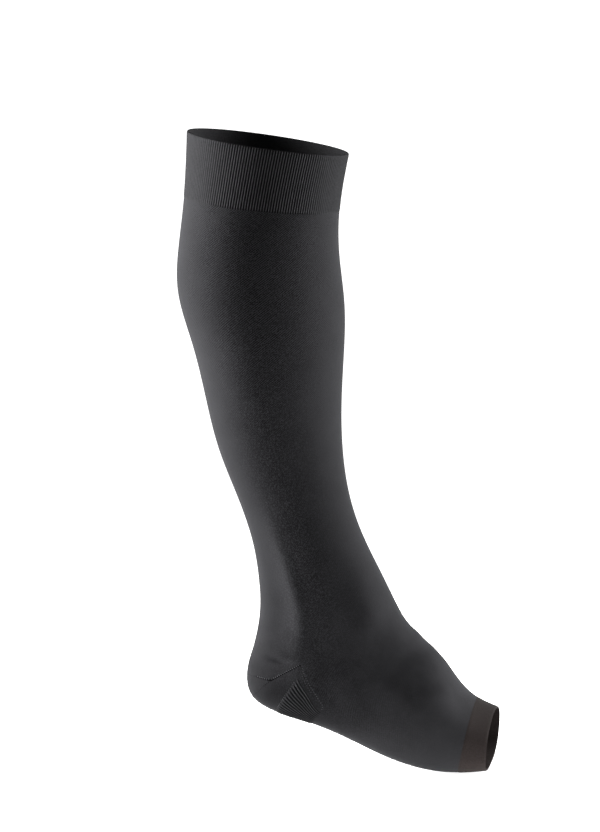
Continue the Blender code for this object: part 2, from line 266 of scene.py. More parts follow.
# The form of the tube, in millimetres: one flat ring for each row, given by its front and back point in
# the middle plane, its half widths, where it is widest as a share of half its depth, how square its front
# and back are, and where the sole's side edge runs, as a share of half the girth from the front.
COLUMNS = (
    "front_x front_z back_x back_z lateral medial widest front_round back_round sole_edge"
).split()
STATIONS = (
    ("top edge", 59.3, -8, -59.9, 9, 52, 53, -0.04, 2.0, 2.1, 0.50),
    ("band foot", 52.4, -50.5, -62.6, -39.5, 52, 53, -0.06, 2.0, 2.1, 0.50),
    ("upper calf", 52.5, -84.5, -66.9, -76.5, 54, 56, -0.08, 2.0, 2.1, 0.50),
    ("calf", 56, -117.5, -67.6, -110.5, 55, 57, -0.10, 1.95, 2.1, 0.50),
    ("lower calf", 56, -152.5, -57.6, -148.5, 53, 55, -0.10, 1.95, 2.05, 0.51),
    ("mid shank", 54.1, -192.5, -47.8, -189.5, 46, 48, -0.08, 1.95, 2.0, 0.53),
    ("low shank", 55.1, -232.5, -37.7, -230.5, 37, 39, -0.04, 2.0, 1.95, 0.55),
    ("ankle waist", 60.6, -267.5, -24.1, -266.5, 32, 33, 0.00, 2.0, 1.9, 0.57),
    ("above ankle", 71.2, -298.5, -13.1, -300.5, 33, 34, 0.04, 2.05, 1.9, 0.59),
    ("ankle", 85.1, -327.5, -8.4, -330.5, 36, 37, 0.06, 2.1, 1.95, 0.60),
    ("ankle bend", 97.5, -353, -8.9, -363.5, 37, 38, 0.04, 2.1, 2.05, 0.61),
    ("heel back", 102.5, -361.5, -13.4, -383.5, 37, 38, 0.00, 2.1, 2.15, 0.62),
    ("ankle point", 107, -367, -17.2, -397.5, 37, 38, -0.03, 2.1, 2.25, 0.625),
    ("heel turn", 112.5, -372, -14.8, -418.1, 37, 38, -0.06, 2.1, 2.4, 0.61),
    ("heel sole", 116.5, -376.5, 3, -430.2, 37, 38, -0.08, 2.1, 2.6, 0.635),
    ("rear arch", 121.5, -381, 26, -437.5, 38, 38, -0.08, 2.1, 2.8, 0.67),
    ("arch", 127.7, -387.5, 53, -448.1, 40, 39, -0.10, 2.1, 2.9, 0.68),
    ("fore arch", 134.4, -396, 82, -461.6, 43, 42, -0.14, 2.1, 3.0, 0.69),
    ("ball", 142.2, -408.5, 113, -471.6, 45, 45, -0.18, 2.1, 3.1, 0.70),
    ("toe band edge", 155.8, -424.3, 145.5, -475, 45, 45, -0.18, 2.1, 3.1, 0.70),
    ("toe edge", 170.5, -432.5, 168, -473.8, 43, 43, -0.14, 2.1, 3.0, 0.70),
)
NAMES = [row[0] for row in STATIONS]
TABLE = np.array([row[1:] for row in STATIONS], dtype=float)
ARCH_LIFT = 6.0
ARCH_REACH = 35.0
ARCH_UNDER = 0.8
TOE_SKEW = 0.16
TURN_SAMPLES = 361
LENGTH_SAMPLES = 161

front_steps = np.hypot(*np.diff(TABLE[:, 0:2], axis=0).T)
back_steps = np.hypot(*np.diff(TABLE[:, 2:4], axis=0).T)
KNOTS = np.concatenate([[0.0], np.cumsum((front_steps + back_steps) / 2)])


def second_slopes():
    """The second derivative of every column at each ring, for a natural cubic spline."""
    gap = np.diff(KNOTS)[:, None]
    slope = np.diff(TABLE, axis=0) / gap
    matrix = np.eye(len(KNOTS))
    right = np.zeros_like(TABLE)
    for k in range(1, len(KNOTS) - 1):
        before, after = gap[k - 1, 0], gap[k, 0]
        matrix[k, k - 1 : k + 2] = before, 2 * (before + after), after
        right[k] = 6 * (slope[k] - slope[k - 1])
    return np.linalg.solve(matrix, right)


BENDS = second_slopes()


def station(name):
    """The distance of a named ring along the tube."""
    return KNOTS[NAMES.index(name)]


def section(distance):
    """Every column of the table at the given distances, as a dictionary of arrays."""
    at = np.asarray(distance, dtype=float)
    k = np.clip(np.searchsorted(KNOTS, at, side="right") - 1, 0, len(KNOTS) - 2)
    gap = KNOTS[k + 1] - KNOTS[k]
    ahead = ((at - KNOTS[k]) / gap)[..., None]
    behind = 1 - ahead
    curve = (behind**3 - behind) * BENDS[k] + (ahead**3 - ahead) * BENDS[k + 1]
    values = behind * TABLE[k] + ahead * TABLE[k + 1] + curve * (gap[..., None] ** 2) / 6
    return {name: values[..., i] for i, name in enumerate(COLUMNS)}


def ease(value, low, high):
    """Rises smoothly from 0 at low to 1 at high."""
    t = np.clip((value - low) / (high - low), 0, 1)
    return t * t * (3 - 2 * t)


def ring_point(distance, turn):
    """The surface at a distance along the tube and an angle from the front, towards the inner side."""
    q = section(distance)
    run_x = q["front_x"] - q["back_x"]
    run_z = q["front_z"] - q["back_z"]
    depth = np.hypot(run_x, run_z) / 2
    along_x, along_z = run_x / (2 * depth), run_z / (2 * depth)
    cosine, sine = np.cos(turn), np.sin(turn)
    reach = depth * np.where(cosine >= 0, 1 - q["widest"], 1 + q["widest"])
    side = np.where(sine >= 0, q["medial"], q["lateral"])
    power = q["back_round"] + (q["front_round"] - q["back_round"]) * (1 + cosine) / 2
    radius = (np.abs(cosine / reach) ** power + np.abs(sine / side) ** power) ** (-1 / power)
    forward = q["widest"] * depth + radius * cosine
    x = (q["front_x"] + q["back_x"]) / 2 + forward * along_x
    z = (q["front_z"] + q["back_z"]) / 2 + forward * along_z
    y = radius * sine
    arch_mid, arch_half = station("arch"), station("ball") - station("arch")
    along_arch = np.cos(np.clip((distance - arch_mid) / arch_half, -1, 1) * np.pi / 2) ** 2
    lift = ARCH_LIFT * along_arch * ease(y, 0, ARCH_REACH) * ease(-cosine, 0, ARCH_UNDER)
    skew = TOE_SKEW * ease(distance, station("arch"), station("toe edge"))
    return np.stack([x + skew * y, y, z + lift], axis=-1)


def even_turns():
    """For rings along the tube, the angle at each even share of the girth, so that wales lie evenly."""
    distances = np.linspace(0, KNOTS[-1], LENGTH_SAMPLES)
    turns = np.linspace(0, 2 * np.pi, TURN_SAMPLES)
    points = ring_point(distances[:, None], turns[None, :])
    steps = np.linalg.norm(np.diff(points, axis=1), axis=-1)
    length = np.concatenate([np.zeros((LENGTH_SAMPLES, 1)), np.cumsum(steps, axis=1)], axis=1)
    middle = TURN_SAMPLES // 2
    shares = np.linspace(0, 1, TURN_SAMPLES)
    table = np.empty_like(length)
    for i, row in enumerate(length):
        half, whole = row[middle], row[-1]
        first = 0.5 * row[: middle + 1] / half
        second = 0.5 + 0.5 * (row[middle + 1 :] - half) / (whole - half)
        table[i] = np.interp(shares, np.concatenate([first, second]), turns)
    return table


TURN_TABLE = even_turns()


def surface(distance, wale):
    """The outer surface. A wale counts quarters: 0 front, 1 inner sole edge, 2 back, 3 outer sole edge."""
    distance, wale = np.broadcast_arrays(distance, wale)
    wale = np.mod(wale, 4)
    edge = section(distance)["sole_edge"]
    from_front = np.where(wale <= 2, wale, 4 - wale)
    share = np.where(from_front <= 1, edge * from_front, edge + (1 - edge) * (from_front - 1)) / 2
    share = np.where(wale <= 2, share, 1 - share)
    row = distance / KNOTS[-1] * (LENGTH_SAMPLES - 1)
    column = share * (TURN_SAMPLES - 1)
    i = np.clip(row.astype(int), 0, LENGTH_SAMPLES - 2)
    j = np.clip(column.astype(int), 0, TURN_SAMPLES - 2)
    down, across = row - i, column - j
    upper = TURN_TABLE[i, j] * (1 - across) + TURN_TABLE[i, j + 1] * across
    lower = TURN_TABLE[i + 1, j] * (1 - across) + TURN_TABLE[i + 1, j + 1] * across
    return ring_point(distance, upper * (1 - down) + lower * down)


def surface_normal(distance, wale):
    """The outward direction of the surface."""
    reach, turn = 0.5, 0.01
    down = surface(distance + reach, wale) - surface(distance - reach, wale)
    round_it = surface(distance, wale + turn) - surface(distance, wale - turn)
    normal = np.cross(down, round_it)
    return normal / np.linalg.norm(normal, axis=-1, keepdims=True)


# Soft hollows and ridges that the pulled cloth has, in millimetres: where along the tube and at which wale
# the middle lies, half its length and width, how far it turns from the tube's line, and how far it rises.
SOFT_FORMS = (
    # name, along, wale, half length, half width, turn, rise
    ("flat beside the heel cord, outer side", 346, 2.54, 46, 13, 8, -1.6),
    ("flat beside the heel cord, inner side", 346, 1.46, 46, 13, -8, -1.6),
    ("edge of the flat, outer side", 346, 2.86, 46, 8.5, 8, 1.8),
    ("edge of the flat, inner side", 346, 1.14, 46, 8.5, -8, 1.8),
    ("pull over the bend of the ankle", 366, 3.53, 28, 8, -4, 0.9),
    ("hollow behind that pull", 352, 3.28, 30, 12, -8, -0.8),
    ("dip in front of that pull", 388, 3.64, 12, 5, 30, -0.45),
    ("pull over the bend, inner side", 368, 0.50, 26, 9, 5, 0.8),
    ("hollow behind that pull, inner side", 356, 0.74, 28, 13, 8, -0.8),
    ("crease over the heel fork, outer side", 388.2, 2.66, 12, 1.7, 76, -1.8),
    ("fold over that crease, outer side", 385.0, 2.68, 9, 2.2, 78, 0.8),
    ("crease over the heel fork, inner side", 387.4, 1.35, 11, 1.9, -78, -1.2),
    ("fold over that crease, inner side", 384.2, 1.34, 8, 2.2, -79, 0.5),
)
GIRTH_MM = 260.0


def relief(distance, wale):
    """How far the soft hollows and ridges move the cloth along its outward direction."""
    total = np.zeros(np.broadcast(distance, wale).shape)
    for _, along, at_wale, half_length, half_width, turn, rise in SOFT_FORMS:
        off_wale = np.mod(wale - at_wale + 2, 4) - 2
        down, across = distance - along, off_wale * GIRTH_MM / 4
        cosine, sine = np.cos(np.radians(turn)), np.sin(np.radians(turn))
        lengthways = (down * cosine + across * sine) / half_length
        sideways = (across * cosine - down * sine) / half_width
        total = total + rise * np.exp(-(lengthways**2) - sideways**2)
    return total


SIDES = ((-1, 0), (1, 0), (0, -1), (0, 1))
SHARP_DEGREES = 50


def side_corners(i, j, d_row, d_column):
    """The two corners of a cell's side that faces the given way, in the order that closes a wall outwards."""
    return {
        (-1, 0): ((i, j), (i, j + 1)),
        (1, 0): ((i + 1, j + 1), (i + 1, j)),
        (0, -1): ((i + 1, j), (i, j)),
        (0, 1): ((i, j + 1), (i + 1, j + 1)),
    }[d_row, d_column]


def wall_faces(outer_ids, inner_ids, kept, ring, step):
    """The faces of a wall and each corner's place in the grid: outer side, inner side and rims."""
    faces, places = [], []
    i, j = np.nonzero(np.repeat(kept, step, axis=1))
    at_i, at_j = np.stack([i, i + 1, i + 1, i], axis=1), np.stack([j, j, j + 1, j + 1], axis=1)
    faces += outer_ids[at_i, at_j].tolist()
    places += [*zip(at_i.ravel(), at_j.ravel())]
    i, j = np.nonzero(kept)
    at_i, at_j = np.stack([i, i, i + 1, i + 1], axis=1), np.stack([j, j + 1, j + 1, j], axis=1)
    faces += inner_ids[at_i, at_j].tolist()
    places += [*zip(at_i.ravel(), at_j.ravel() * step)]
    framed = np.pad(kept, 1)
    if ring:
        framed[:, 0], framed[:, -1] = framed[:, -2], framed[:, 1]
    for d_row, d_column in SIDES:
        beyond = np.roll(framed, (-d_row, -d_column), axis=(0, 1))[1:-1, 1:-1]
        for i, j in np.argwhere(kept & ~beyond):
            (i0, j0), (i1, j1) = side_corners(i, j, d_row, d_column)
            count = 1 if d_column else step
            rim_i = np.linspace(i0, i1, count + 1).round().astype(int)
            rim_j = np.linspace(j0 * step, j1 * step, count + 1).round().astype(int)
            faces.append([*outer_ids[rim_i, rim_j], inner_ids[i1, j1], inner_ids[i0, j0]])
            places += [*zip(rim_i, rim_j), (i1, j1 * step), (i0, j0 * step)]
    return faces, places


def knit_wall(name, distance, wale, lift=0.0, painted_shade=0.0, painted_shade_inside=0.0, ring=True, kept=None, step=1):
    """A closed wall of cloth over a grid of distances and wales, whose last column is its first in a ring.

    lift raises the outer side. painted_shade and painted_shade_inside mark how much painted shade each
    point of the outer and of the inner side has, as between two ribs. kept marks the cells that the piece
    has. The plain inner side has one column for each step columns of the outer side.
    """
    distance, wale, lift, painted_shade, painted_shade_inside = np.broadcast_arrays(
        distance, wale, lift, painted_shade, painted_shade_inside
    )
    rows, columns = distance.shape[0] - 1, distance.shape[1] - 1
    if kept is None:
        kept = np.ones((rows, columns // step), dtype=bool)
    shape = surface(distance, wale)
    normal = surface_normal(distance, wale)
    soft = relief(distance, wale)
    outer = shape + normal * (soft + lift)[..., None]
    inner = (shape + normal * (soft - CLOTH_MM)[..., None])[:, ::step]

    own = columns if ring else columns + 1
    inner_own = inner.shape[1] - 1 if ring else inner.shape[1]
    outer_ids = np.arange((rows + 1) * own).reshape(rows + 1, own)
    inner_ids = outer_ids.size + np.arange((rows + 1) * inner_own).reshape(rows + 1, inner_own)
    if ring:
        outer_ids = np.concatenate([outer_ids, outer_ids[:, :1]], axis=1)
        inner_ids = np.concatenate([inner_ids, inner_ids[:, :1]], axis=1)
    points = np.concatenate([outer[:, :own].reshape(-1, 3), inner[:, :inner_own].reshape(-1, 3)])
    painted_shade_of = np.concatenate([painted_shade[:, :own].ravel(), painted_shade_inside[:, ::step][:, :inner_own].ravel()])
    inside_of = np.concatenate([np.zeros((rows + 1) * own), np.ones((rows + 1) * inner_own)])

    faces, places = wall_faces(outer_ids, inner_ids, kept, ring, step)
    used, numbers = np.unique(np.concatenate([np.asarray(face) for face in faces]), return_inverse=True)
    ends = np.cumsum([len(face) for face in faces])
    faces = [part.tolist() for part in np.split(numbers, ends[:-1])]
    mesh = bpy.data.meshes.new(name)
    mesh.from_pydata((points[used] * MM).tolist(), [], faces)
    at_i, at_j = np.array(places).T
    stitches = np.stack([wale[at_i, at_j] * NEEDLES / 4, distance[at_i, at_j] / COURSE_MM], axis=1)
    mesh.uv_layers.new(name="stitches").data.foreach_set("uv", stitches.astype(np.float32).ravel())
    for mark, values in (("painted_shade", painted_shade_of), ("inside", inside_of)):
        layer = mesh.attributes.new(mark, "FLOAT", "POINT")
        layer.data.foreach_set("value", values[used].astype(np.float32))
    mesh.shade_smooth()
    mesh.set_sharp_from_angle(angle=np.radians(SHARP_DEGREES))
    piece = bpy.data.objects.new(name, mesh)
    bpy.context.scene.collection.objects.link(piece)
    return piece


TURN = 2 * np.pi
SHEEN_TINT = (0.86, 0.86, 0.92, 1)


class Finish(Looks):
    """The finish of one kind of knit: a material that follows the stitches of the piece's own map."""

    def __init__(self, name, sheen, sheen_roughness, specular):
        self.material = bpy.data.materials.new(name)
        self.material.use_nodes = True
        super().__init__(self.material.node_tree)
        self.entries = self.tree.nodes["Principled BSDF"].inputs
        self.feed(self.entries["Sheen Weight"], sheen)
        self.feed(self.entries["Sheen Roughness"], sheen_roughness)
        self.feed(self.entries["Sheen Tint"], SHEEN_TINT)
        self.feed(self.entries["Specular IOR Level"], specular)

    def stitches(self):
        """The number of the wale and of the course."""
        place = {"Vector": self.node("ShaderNodeUVMap", {"uv_map": "stitches"}, {})}
        return tuple(self.node("ShaderNodeSeparateXYZ", {}, place, axis) for axis in "XY")

    def mark(self, name):
        """One of the marks that knit_wall leaves on a piece."""
        return self.node("ShaderNodeAttribute", {"attribute_name": name}, {}, "Fac")

    def chance(self, wale, course):
        """A number from 0 to 1 that is the same all over one stitch."""
        stitch = self.node("ShaderNodeCombineXYZ", {}, {"X": wale.whole(), "Y": course.whole()})
        return self.node("ShaderNodeTexWhiteNoise", {"noise_dimensions": "2D"}, {"Vector": stitch})

    def loops(self, wale, course):
        """The small loops of each course, which lie like a row of Vs, one to a wale."""
        slant = (wale.fraction() - 0.5).size()
        return ((course + slant) * TURN).cosine()

    def noise(self, scale, detail):
        """Soft noise over the cloth, as fine as its scale."""
        place = self.node("ShaderNodeTexCoord", {}, {}, "Object")
        return self.node("ShaderNodeTexNoise", {}, {"Vector": place, "Scale": scale, "Detail": detail})

    def dress(self, colour, roughness, height, depth_mm):
        """Joins the colour, the roughness and the raised pattern to the shader."""
        raised = {"Height": height, "Distance": depth_mm * MM, "Strength": 1.0}
        self.feed(self.entries["Base Color"], colour)
        self.feed(self.entries["Roughness"], roughness)
        self.feed(self.entries["Normal"], self.node("ShaderNodeBump", {}, raised))


RIB_YARN = (0.030, 0.030, 0.0318, 1)
RIB_YARN_LIGHT = (0.050, 0.050, 0.053, 1)
# Near-black painted shade between the ribs.
RIB_PAINTED_SHADE = (0.0012, 0.0012, 0.0014, 1)
RIB_OF_WALE = 0.5
RIB_LIGHT = 0.1
RIB_LOOP_LIGHT = 0.1
RIB_CHANCE_LIGHT = 0.7
RIB_ROUGHNESS = 0.86
RIB_LOOP_DEPTH_MM = 0.02


def rib_finish(name):
    """Ribs of charcoal yarn: a light crest of small stitches, and painted shade between the ribs."""
    finish = Finish(name, sheen=0.0, sheen_roughness=0.45, specular=0.02)
    wale, course = finish.stitches()
    loops = finish.loops(wale * RIB_OF_WALE, course)
    light = finish.chance(wale, course) * RIB_CHANCE_LIGHT + loops * RIB_LOOP_LIGHT + RIB_LIGHT
    yarn = finish.blend(light, RIB_YARN, RIB_YARN_LIGHT)
    colour = finish.blend(finish.mark("painted_shade"), yarn, RIB_PAINTED_SHADE)
    finish.dress(colour, RIB_ROUGHNESS, loops, RIB_LOOP_DEPTH_MM)
    return finish.material


def worn_area(distance, wale):
    """The area of a grid on the tube's surface, in square metres."""
    points = surface(*np.broadcast_arrays(distance, wale)) * MM
    down, across = np.diff(points, axis=0)[:, :-1], np.diff(points, axis=1)[:-1]
    return np.linalg.norm(np.cross(down, across), axis=-1).sum()


# The knit is pulled this much round the leg and along it, from the size that it comes off the machine.
ROUND_STRETCH = 1.30
LONG_STRETCH = 1.02
BAND_GIRTH_MM = 353


def knitted_size(girth_mm, length_mm, worn=None):
    """The flat size of a piece as it is knitted, and its area where it isn't a rectangle."""
    flat = (girth_mm * MM / ROUND_STRETCH, length_mm * MM / LONG_STRETCH)
    return {"flat": flat, "area": None if worn is None else worn / (ROUND_STRETCH * LONG_STRETCH)}


# The band's rows lie close together at its welt, which rounds over, and at the foot of its ribs, which
# flatten and close where the plain knit of the leg pulls on them. Shades are shares of the near-black
# painted shade between the ribs.
POINTS_PER_RIB = 8
BAND_ROWS = 18
END_ROWS_MM = 2.5
WELT_MM = 0.7
WELT_ROWS = (0.0, 0.25, 0.6, 1.0)
WELT_DROP_MM = 0.35
WELT_FLATTENS = 0.6
FOOT_OF_RIBS_MM = 1.6
FOOT_ROWS = (1.0, 0.66, 0.33, 0.0)
FOOT_DROP_MM = 0.25
FOOT_FLATTENS = 0.75
# How much painted shade falls on the crests where the ribs close at the band's foot.
FOOT_CREST_SHADE = 0.6
PULLED_RISE = 0.55
PULLED_SHADE = 0.58
# Share of painted shade on the inner side of the band and the sole, which lies in shade.
INSIDE_SHADE = 0.7
RIBS_SHOW_FROM = 0.33
RIBS_SHOW_FULLY = 0.75
RIBS_SHOW_FULLY_BACK = 0.96
CREST_FROM = 0.35
CREST_FULL = 0.90

ribs_round = np.arange(BAND_RIBS * POINTS_PER_RIB + 1)[None, :] / POINTS_PER_RIB
band_start, band_end = station("top edge"), station("band foot")
band_rows = np.concatenate(
    [
        band_start + WELT_MM * np.array(WELT_ROWS),
        np.linspace(band_start + END_ROWS_MM, band_end - END_ROWS_MM, BAND_ROWS),
        band_end - FOOT_OF_RIBS_MM * np.array(FOOT_ROWS),
    ]
)[:, None]
down_band = (band_rows - band_start) / (band_end - band_start)
band_wales = 4 * (ribs_round + BAND_LEAN_RIBS * (1 - down_band)) / BAND_RIBS
crest = np.sin(np.pi * ribs_round) ** 2
round_over = 1 - ease(band_rows - band_start, 0, WELT_MM)
close_down = ease(band_rows, band_end - FOOT_OF_RIBS_MM, band_end)
band_turns = np.pi / 2 * band_wales
show_fully = np.where(np.cos(band_turns) < 0, RIBS_SHOW_FULLY_BACK, RIBS_SHOW_FULLY)
ribs_show = ease(np.sin(band_turns) ** 2, RIBS_SHOW_FROM, show_fully)
band_rise = BAND_RIB_RISE * (PULLED_RISE + (1 - PULLED_RISE) * ribs_show)
band_lift = band_rise * crest * (1 - WELT_FLATTENS * round_over) - WELT_DROP_MM * round_over
band_lift = band_lift * (1 - FOOT_FLATTENS * close_down * (1 - ribs_show))
band_lift = band_lift - FOOT_DROP_MM * close_down * (1 - crest) * ribs_show
# Painted shade: dark between the ribs, and over their crests too where they close at the band's foot. Where
# the ribs are pulled flatter, over the shin and the calf, the side boxes light them head-on, and the painted
# shade fades to a steady share.
shade_between_ribs = 1 - ease(crest, CREST_FROM, CREST_FULL) * (1 - FOOT_CREST_SHADE * close_down)
band_shade = PULLED_SHADE + (shade_between_ribs - PULLED_SHADE) * ribs_show
# The welt's rounded edge, where it turns inwards, takes the full painted shade, and the band's inner side a
# steady share of it, as the inside of the tube lies in shade.
band = knit_wall(
    "ribbed_band",
    band_rows,
    band_wales,
    band_lift,
    np.maximum(band_shade, round_over),
    painted_shade_inside=np.maximum(INSIDE_SHADE, round_over),
    step=POINTS_PER_RIB,
)
band.data.materials.append(rib_finish("rib_knit_charcoal"))
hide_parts("top_band")
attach(band, "root")
knitted_size(BAND_GIRTH_MM, band_end - band_start)


# -----------------------------------------------------------------------------------------------------
# Leg and foot
# The same tube runs on from the band, in a fine plain knit with the elastic yarn laid in: down the leg,
# over the instep above the heel, and round the whole forefoot to the toe band.
# -----------------------------------------------------------------------------------------------------

# Where the heel begins before the ankle point, and where the sole's ribs begin and end past it, at the
# sole's side edges and in its middle, all in millimetres.
HEEL_RISE = 10.0
RIBS_FROM_SIDE = 4.5
RIBS_FROM_SOLE = 29.5
RIBS_TO_SIDE = 37.0
RIBS_TO_SOLE = 47.5
LEG_BEND_FROM = 0.7
CLOSER_ROWS = 0.3
FOREFOOT_BEND_TO = 0.7
QUARTER_COLUMNS = 56
LEG_ROWS = 200
INSTEP_ROWS = 18
FOREFOOT_ROWS = 56
INNER_STEP = 4
CALF_GIRTH_MM = 371

# Places along the tube where the look of the plain knit changes, counted in courses from the top edge.
CALF_COURSE = 110
ANKLE_COURSE = 300
INSTEP_COURSE = 440
HEEL_END_COURSE = 550
ARCH_COURSE = 560
SOLE_COURSE = 600
TOE_COURSE = 690

ankle_at, toe_at = station("ankle point"), station("toe band edge")


def sole_share(wale):
    """1 along the middle of the back and sole, 0 at the sole's two side edges and over the front."""
    return np.cos(np.clip(np.abs(np.mod(wale, 4) - 2), 0, 1) * np.pi / 2)


def heel_top(wale):
    """Where the leg ends: level round the instep half, and higher at the back, where the heel begins."""
    return ankle_at - HEEL_RISE * sole_share(wale)


def ribs_start(wale):
    """Where the heel ends and the ribbed part of the sole begins."""
    return ankle_at + RIBS_FROM_SIDE + (RIBS_FROM_SOLE - RIBS_FROM_SIDE) * sole_share(wale)


def ribs_end(wale):
    """Where the ribbed part of the sole ends."""
    return ankle_at + RIBS_TO_SIDE + (RIBS_TO_SOLE - RIBS_TO_SIDE) * sole_share(wale)


# The plain knit's finish. The pattern of the laid-in yarn turns by these shares over each wale and course.
# A scale counts in a metre. A light is a share of the way from the dark yarn's colour to the light one's.
SOFT_DETAIL = 3.0
FINE_DETAIL = 2.0
SLANT_ROUND = 0.47
SLANT_DOWN = 0.44
STROKE_CHANCE = 1.7
STROKE_LESS = 0.1
CROSSING_MOST = 0.7
CROSSING_CHANCE = 0.8
STROKES_LEAST = 0.2
STROKES_FADE = 0.85
STROKE_LIGHT = 0.9
PATCH_SCALE = 110.0
PATCH_FROM = 0.36
PATCH_TO = 0.60
PATCH_LEAST = 0.4
PATCH_MORE = 0.8
SPECK_SCALE = 1050.0
SPECK_FROM = 0.42
SPECK_TO = 0.72
SPECK_MEAN = 0.3
SPECKS_LEAST = 0.12
SPECKS_FADE = 0.4
SPECK_LIGHT = 0.68
CLOUD_SCALE = 45.0
CLOUD_LIGHT = 0.2
CLOUD_LIGHT_ON_FOOT = 0.5
YARN_LIGHT = 0.48
HEEL_DARKENS = 0.26
# Painted light on the forefoot's sides before the toe band, and more of it towards the top.
FOREFOOT_PAINTED_LIGHT = 0.7
FOREFOOT_TOP_PAINTED_LIGHT = 0.25
BALL_TOP_FROM = -0.3
BALL_TOP_TO = 0.3
INSIDE_LIGHTENS = 0.35
PLAIN_ROUGHNESS = 0.78
PLAIN_ROUGHNESS_CHANCE = 0.12
STROKE_DEPTH_MM = 0.035


def plain_finish(name, light, dark, light_inside, painted_light_at_toes):
    """Fine charcoal knit with a soft sheen: small stitches, and the laid-in yarn that slants over them.

    The slanting yarn shows most on the two sides of the calf and fades towards the ankle. Fine specks lie
    all over, and softer clouds, which are stronger on the foot. The cloth is a little darker at the rounded
    heel. Before the toe band, painted light makes the forefoot's sides lighter, more towards the top.
    """
    finish = Finish(name, sheen=0.03, sheen_roughness=0.45, specular=0.03)
    wale, course = finish.stitches()
    over_top = (wale * (TURN / NEEDLES)).cosine()
    at_back = over_top.between(0.0, -1.0)
    at_sides = 0.5 - (wale * (2 * TURN / NEEDLES)).cosine() * 0.5
    down_calf = course.between(CALF_COURSE, ANKLE_COURSE)
    down_foot = course.between(INSTEP_COURSE, ARCH_COURSE)
    at_heel = at_back * at_back * down_foot * (1 - course.between(HEEL_END_COURSE, SOLE_COURSE))

    laid_in = ((wale * SLANT_ROUND + course * SLANT_DOWN) * TURN).cosine()
    crossing = ((wale * SLANT_ROUND - course * SLANT_DOWN) * TURN).cosine()
    chance = finish.chance(wale, course)
    strokes = laid_in * (chance * STROKE_CHANCE - STROKE_LESS)
    strokes = strokes + crossing * (CROSSING_MOST - chance * CROSSING_CHANCE)
    shows = at_sides * at_sides * (1 - STROKES_LEAST) + STROKES_LEAST
    shows = shows * (1 - down_calf * STROKES_FADE)
    patches = finish.noise(PATCH_SCALE, SOFT_DETAIL).between(PATCH_FROM, PATCH_TO)
    strokes = strokes * (shows * (patches * PATCH_MORE + PATCH_LEAST))

    specks = finish.noise(SPECK_SCALE, FINE_DETAIL).between(SPECK_FROM, SPECK_TO) - SPECK_MEAN
    specks = specks * (at_sides * at_sides * at_sides * (1 - SPECKS_LEAST) + SPECKS_LEAST)
    specks = specks * (1 - down_foot * SPECKS_FADE)
    clouds = (finish.noise(CLOUD_SCALE, SOFT_DETAIL) - 0.5) * (CLOUD_LIGHT + down_foot * CLOUD_LIGHT_ON_FOOT)
    share = YARN_LIGHT + strokes * STROKE_LIGHT + specks * SPECK_LIGHT + clouds - at_heel * HEEL_DARKENS

    # Painted light on the forefoot's sides before the toe band, stronger towards the top.
    ball_top = over_top.between(BALL_TOP_FROM, BALL_TOP_TO)
    forefoot_painted_light = at_sides * at_sides * (FOREFOOT_PAINTED_LIGHT + ball_top * FOREFOOT_TOP_PAINTED_LIGHT)
    forefoot_painted_light = course.between(ARCH_COURSE, TOE_COURSE) * forefoot_painted_light
    colour = finish.blend(share.between(0.0, 1.0), dark, light)
    colour = finish.blend(forefoot_painted_light, colour, painted_light_at_toes)
    colour = finish.blend(finish.mark("inside") * INSIDE_LIGHTENS, colour, light_inside)
    roughness = PLAIN_ROUGHNESS + chance * PLAIN_ROUGHNESS_CHANCE
    finish.dress(colour, roughness, strokes, STROKE_DEPTH_MM)
    return finish.material


wales_round = np.arange(4 * QUARTER_COLUMNS + 1)[None, :] / QUARTER_COLUMNS
down_leg = np.linspace(0, 1, LEG_ROWS + 1)[:-1, None]
down_leg = down_leg * (1 + CLOSER_ROWS * (1 - down_leg))
leg_rows = band_end + (ankle_at - band_end) * down_leg
leg_rows = leg_rows + (heel_top(wales_round) - ankle_at) * ease(down_leg, LEG_BEND_FROM, 1)
edge_row = heel_top(wales_round)
down_instep = np.linspace(0, 1, INSTEP_ROWS + 1)[1:-1, None]
instep_rows = edge_row + (ribs_end(wales_round) - edge_row) * down_instep
down_forefoot = np.linspace(0, 1, FOREFOOT_ROWS + 1)[:, None]
forefoot_level = ankle_at + RIBS_TO_SIDE + (toe_at - ankle_at - RIBS_TO_SIDE) * down_forefoot
forefoot_rows = forefoot_level + (ribs_end(wales_round) - ankle_at - RIBS_TO_SIDE) * (
    1 - ease(down_forefoot, 0, FOREFOOT_BEND_TO)
)
tube_rows = np.concatenate([leg_rows, edge_row, instep_rows, forefoot_rows])
instep_cells = (wales_round[0, :-1] < 1) | (wales_round[0, :-1] >= 3)
tube_kept = np.ones((tube_rows.shape[0] - 1, 4 * QUARTER_COLUMNS), dtype=bool)
tube_kept[LEG_ROWS : LEG_ROWS + INSTEP_ROWS] = instep_cells
tube = knit_wall(
    "leg_and_foot",
    tube_rows,
    wales_round,
    kept=tube_kept[:, ::INNER_STEP],
    step=INNER_STEP,
)
plain_knit = plain_finish(
    "plain_knit_charcoal",
    light=(0.024, 0.024, 0.026, 1),
    dark=(0.0015, 0.0015, 0.0017, 1),
    light_inside=(0.026, 0.026, 0.028, 1),
    painted_light_at_toes=(0.0248, 0.0248, 0.0265, 1),
)
tube.data.materials.append(plain_knit)
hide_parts("leg", "foot")
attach(tube, "root")
instep_rows_on = slice(LEG_ROWS, LEG_ROWS + INSTEP_ROWS + 1)
inner_quarter = slice(0, QUARTER_COLUMNS + 1)
instep_area = 2 * worn_area(tube_rows[instep_rows_on, inner_quarter], wales_round[:, inner_quarter])
tube_area = (
    worn_area(tube_rows[: LEG_ROWS + 1], wales_round)
    + instep_area
    + worn_area(tube_rows[LEG_ROWS + INSTEP_ROWS :], wales_round)
)
